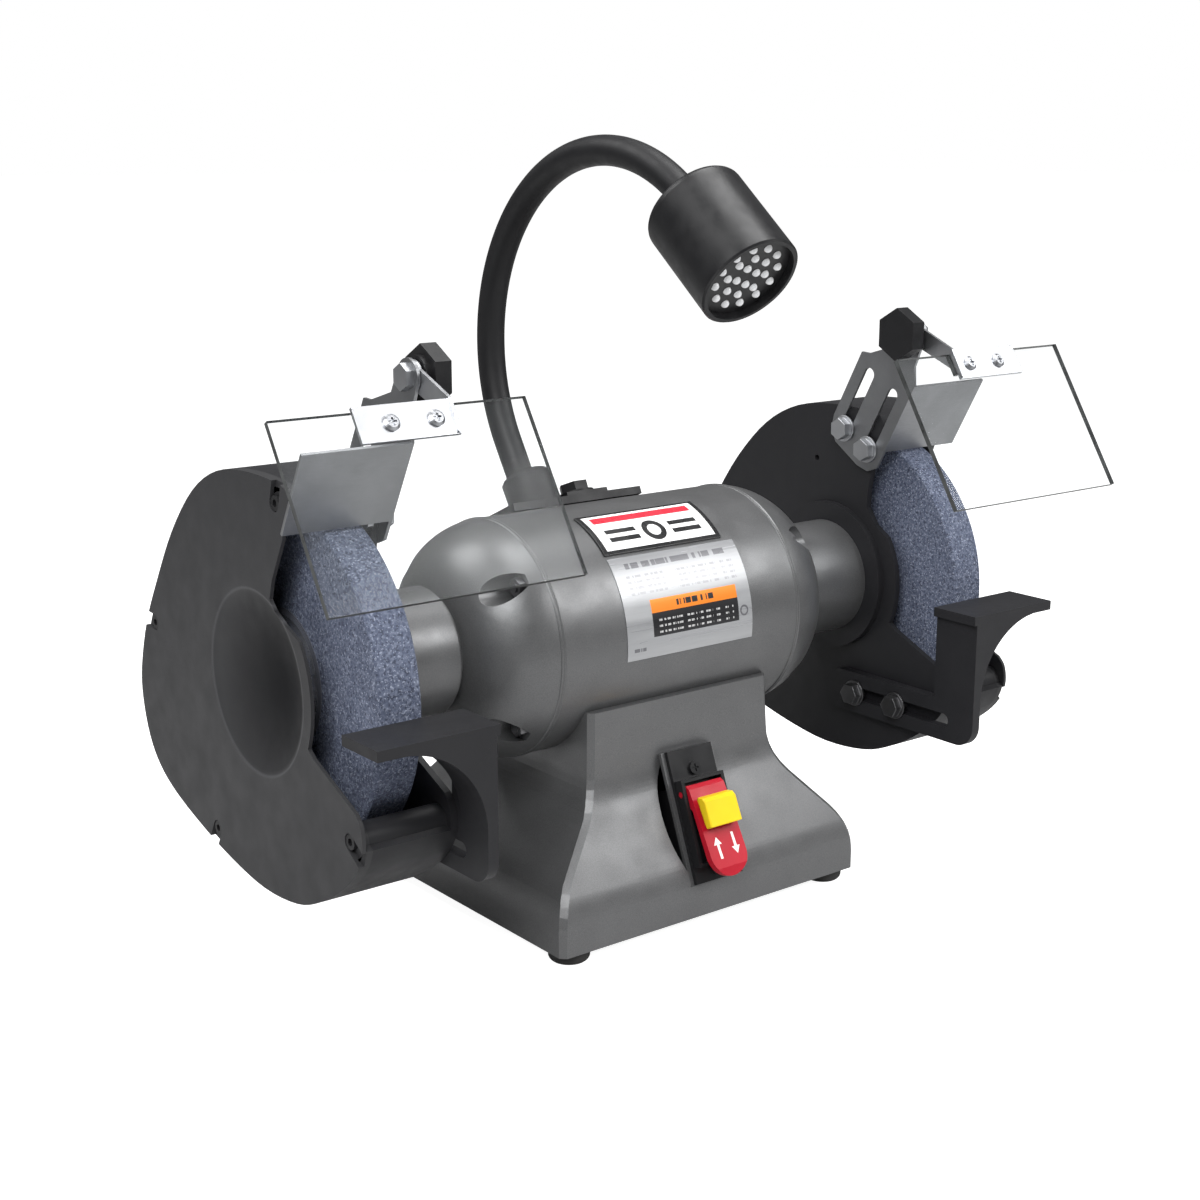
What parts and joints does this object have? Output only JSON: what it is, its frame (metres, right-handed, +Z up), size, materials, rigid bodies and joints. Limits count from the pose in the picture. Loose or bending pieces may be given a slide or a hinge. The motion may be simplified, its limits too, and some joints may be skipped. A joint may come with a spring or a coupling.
{
  "type": "bench grinder",
  "caption": "Double-ended bench grinder with cast guards, tool rests, tilting clear eye shields, a paddle switch with a pull-out key and a gooseneck work lamp.",
  "frame": {"origin": "centre of the four bench bolt holes, on the plane the feet stand on", "axes": "+X along the shaft to the right hand wheel, front faces -Y, +Z up"},
  "size_m": [0.586, 0.3517, 0.4702],
  "materials": {
    "motor_grey": "satin mid-grey textured paint over cast iron and sheet steel",
    "guard_black": "black satin paint over cast iron",
    "cover_grey": "dark grey paint over a die-cast cover",
    "sheet_dark": "dark painted steel sheet",
    "rubber": "matt black rubber",
    "black_plastic": "satin black moulded plastic",
    "neck_sleeve": "black sleeve over the bending conduit",
    "bracket_black": "black painted steel",
    "capacitor_can": "plain aluminium can",
    "red_plastic": "red moulded plastic with white arrows",
    "yellow_plastic": "yellow moulded plastic",
    "steel": "plain turned and bright-plated steel",
    "zinc": "bright zinc-plated steel sheet",
    "bracket_aluminium": "plain aluminium sheet",
    "core_steel": "stack of plain steel laminations",
    "winding_copper": "varnished copper winding",
    "badge_white": "white badge with a black border and a red bar",
    "plate_silver": "silver rating sticker with an orange bar and printed blocks",
    "blotter_paper": "pressed paper washer",
    "abrasive": "opaque blue-grey vitrified abrasive, rough",
    "clear_plastic": "clear polycarbonate sheet",
    "led_white": "white board with clear domed light-emitting diodes"
  },
  "bodies": {
    "motor": {"base_casting": "motor_grey", "base_plate": "sheet_dark", "base_plate_screws": "steel", "rubber_feet": "rubber", "cord_gland": "black_plastic", "capacitor": "capacitor_can", "switch_bracket": "motor_grey", "switch_plate": "black_plastic", "switch_body": "black_plastic", "switch_screws": "bracket_black", "motor_shell": "motor_grey", "end_bell_left": "motor_grey", "end_bell_right": "motor_grey", "tie_bolts": "steel", "motor_bolts": "steel", "stator_core": "core_steel", "stator_windings": "winding_copper", "name_badge": "badge_white", "rating_plate": "plate_silver", "bearing_outer_races": "steel", "guard_left": "guard_black", "guard_right": "guard_black", "guard_bolts": "steel", "guard_cover_left": "cover_grey", "guard_cover_right": "cover_grey", "cover_screws": "bracket_black", "tool_rest_bolts": "steel", "spark_bracket_bolts": "zinc", "lamp_bracket": "bracket_black", "lamp_bolt": "bracket_black"},
    "rotor": {"arbor_shaft": "steel", "rotor_core": "core_steel", "bearing_inners": "steel", "inner_flanges": "steel", "outer_flanges": "steel", "spindle_nuts": "steel", "blotters": "blotter_paper", "wheel_left": "abrasive", "wheel_right": "abrasive"},
    "rest_left": {"tool_rest_left": "guard_black"},
    "bracket_left": {"spark_bracket_left": "bracket_aluminium", "shield_bolt_left": "zinc"},
    "shield_left": {"shield_arm_left": "zinc", "eye_shield_left": "clear_plastic", "shield_screws_left": "steel"},
    "knob_left": {"shield_knob_left": "black_plastic"},
    "rest_right": {"tool_rest_right": "guard_black"},
    "bracket_right": {"spark_bracket_right": "bracket_aluminium", "shield_bolt_right": "zinc"},
    "shield_right": {"shield_arm_right": "zinc", "eye_shield_right": "clear_plastic", "shield_screws_right": "steel"},
    "knob_right": {"shield_knob_right": "black_plastic"},
    "paddle": {"switch_paddle": "red_plastic"},
    "key": {"switch_key": "yellow_plastic"},
    "neck_lower": {"gooseneck_lower": "neck_sleeve"},
    "neck_middle": {"gooseneck_middle": "neck_sleeve"},
    "neck_upper": {"gooseneck_upper": "neck_sleeve"},
    "head": {"lamp_head": "black_plastic", "lamp_leds": "led_white"}
  },
  "joints": [
    {"name": "arbor_spin", "type": "hinge", "parent": "motor", "child": "rotor", "pos_m": [0, 0, 0.1745], "axis": [1, 0, 0], "continuous": true},
    {"name": "rest_slide_left", "type": "slide", "parent": "motor", "child": "rest_left", "axis": [0, 1, 0], "range_m": [-0.0055, 0.003]},
    {"name": "arrestor_slide_left", "type": "slide", "parent": "motor", "child": "bracket_left", "axis": [0, -0.4772, 0.8788], "range_m": [-0.0015, 0.0028]},
    {"name": "shield_tilt_left", "type": "hinge", "parent": "bracket_left", "child": "shield_left", "pos_m": [-0.1896, -0.071, 0.3465], "axis": [1, 0, 0], "range_deg": [-75, 15]},
    {"name": "knob_turn_left", "type": "hinge", "parent": "bracket_left", "child": "knob_left", "pos_m": [-0.181, -0.071, 0.3465], "axis": [1, 0, 0], "range_deg": [0, 330]},
    {"name": "rest_slide_right", "type": "slide", "parent": "motor", "child": "rest_right", "axis": [0, 1, 0], "range_m": [-0.0055, 0.003]},
    {"name": "arrestor_slide_right", "type": "slide", "parent": "motor", "child": "bracket_right", "axis": [0, -0.4772, 0.8788], "range_m": [-0.0015, 0.0028]},
    {"name": "shield_tilt_right", "type": "hinge", "parent": "bracket_right", "child": "shield_right", "pos_m": [0.1896, -0.071, 0.3465], "axis": [1, 0, 0], "range_deg": [-75, 15]},
    {"name": "knob_turn_right", "type": "hinge", "parent": "bracket_right", "child": "knob_right", "pos_m": [0.181, -0.071, 0.3465], "axis": [1, 0, 0], "range_deg": [0, 330]},
    {"name": "paddle_tilt", "type": "hinge", "parent": "motor", "child": "paddle", "pos_m": [0, -0.08824, 0.08184], "axis": [1, 0, 0], "range_deg": [-20, 4]},
    {"name": "key_pull", "type": "slide", "parent": "paddle", "child": "key", "axis": [0, -0.9317, 0.3633], "range_m": [0, 0.012]},
    {"name": "lamp_swivel", "type": "hinge", "parent": "motor", "child": "neck_lower", "pos_m": [-0.04, 0.03714, 0.25197], "axis": [0, 0.5299, 0.848], "range_deg": [-38, 38]},
    {"name": "neck_bend_lower", "type": "hinge", "parent": "neck_lower", "child": "neck_middle", "pos_m": [-0.04, 0.06548, 0.38833], "axis": [1, 0, 0], "range_deg": [-12, 12]},
    {"name": "neck_bend_upper", "type": "hinge", "parent": "neck_middle", "child": "neck_upper", "pos_m": [-0.04, -0.01469, 0.45803], "axis": [1, 0, 0], "range_deg": [-12, 12]},
    {"name": "head_tilt", "type": "hinge", "parent": "neck_upper", "child": "head", "pos_m": [-0.04, -0.11663, 0.43543], "axis": [1, 0, 0], "range_deg": [-18, 18]}
  ]
}
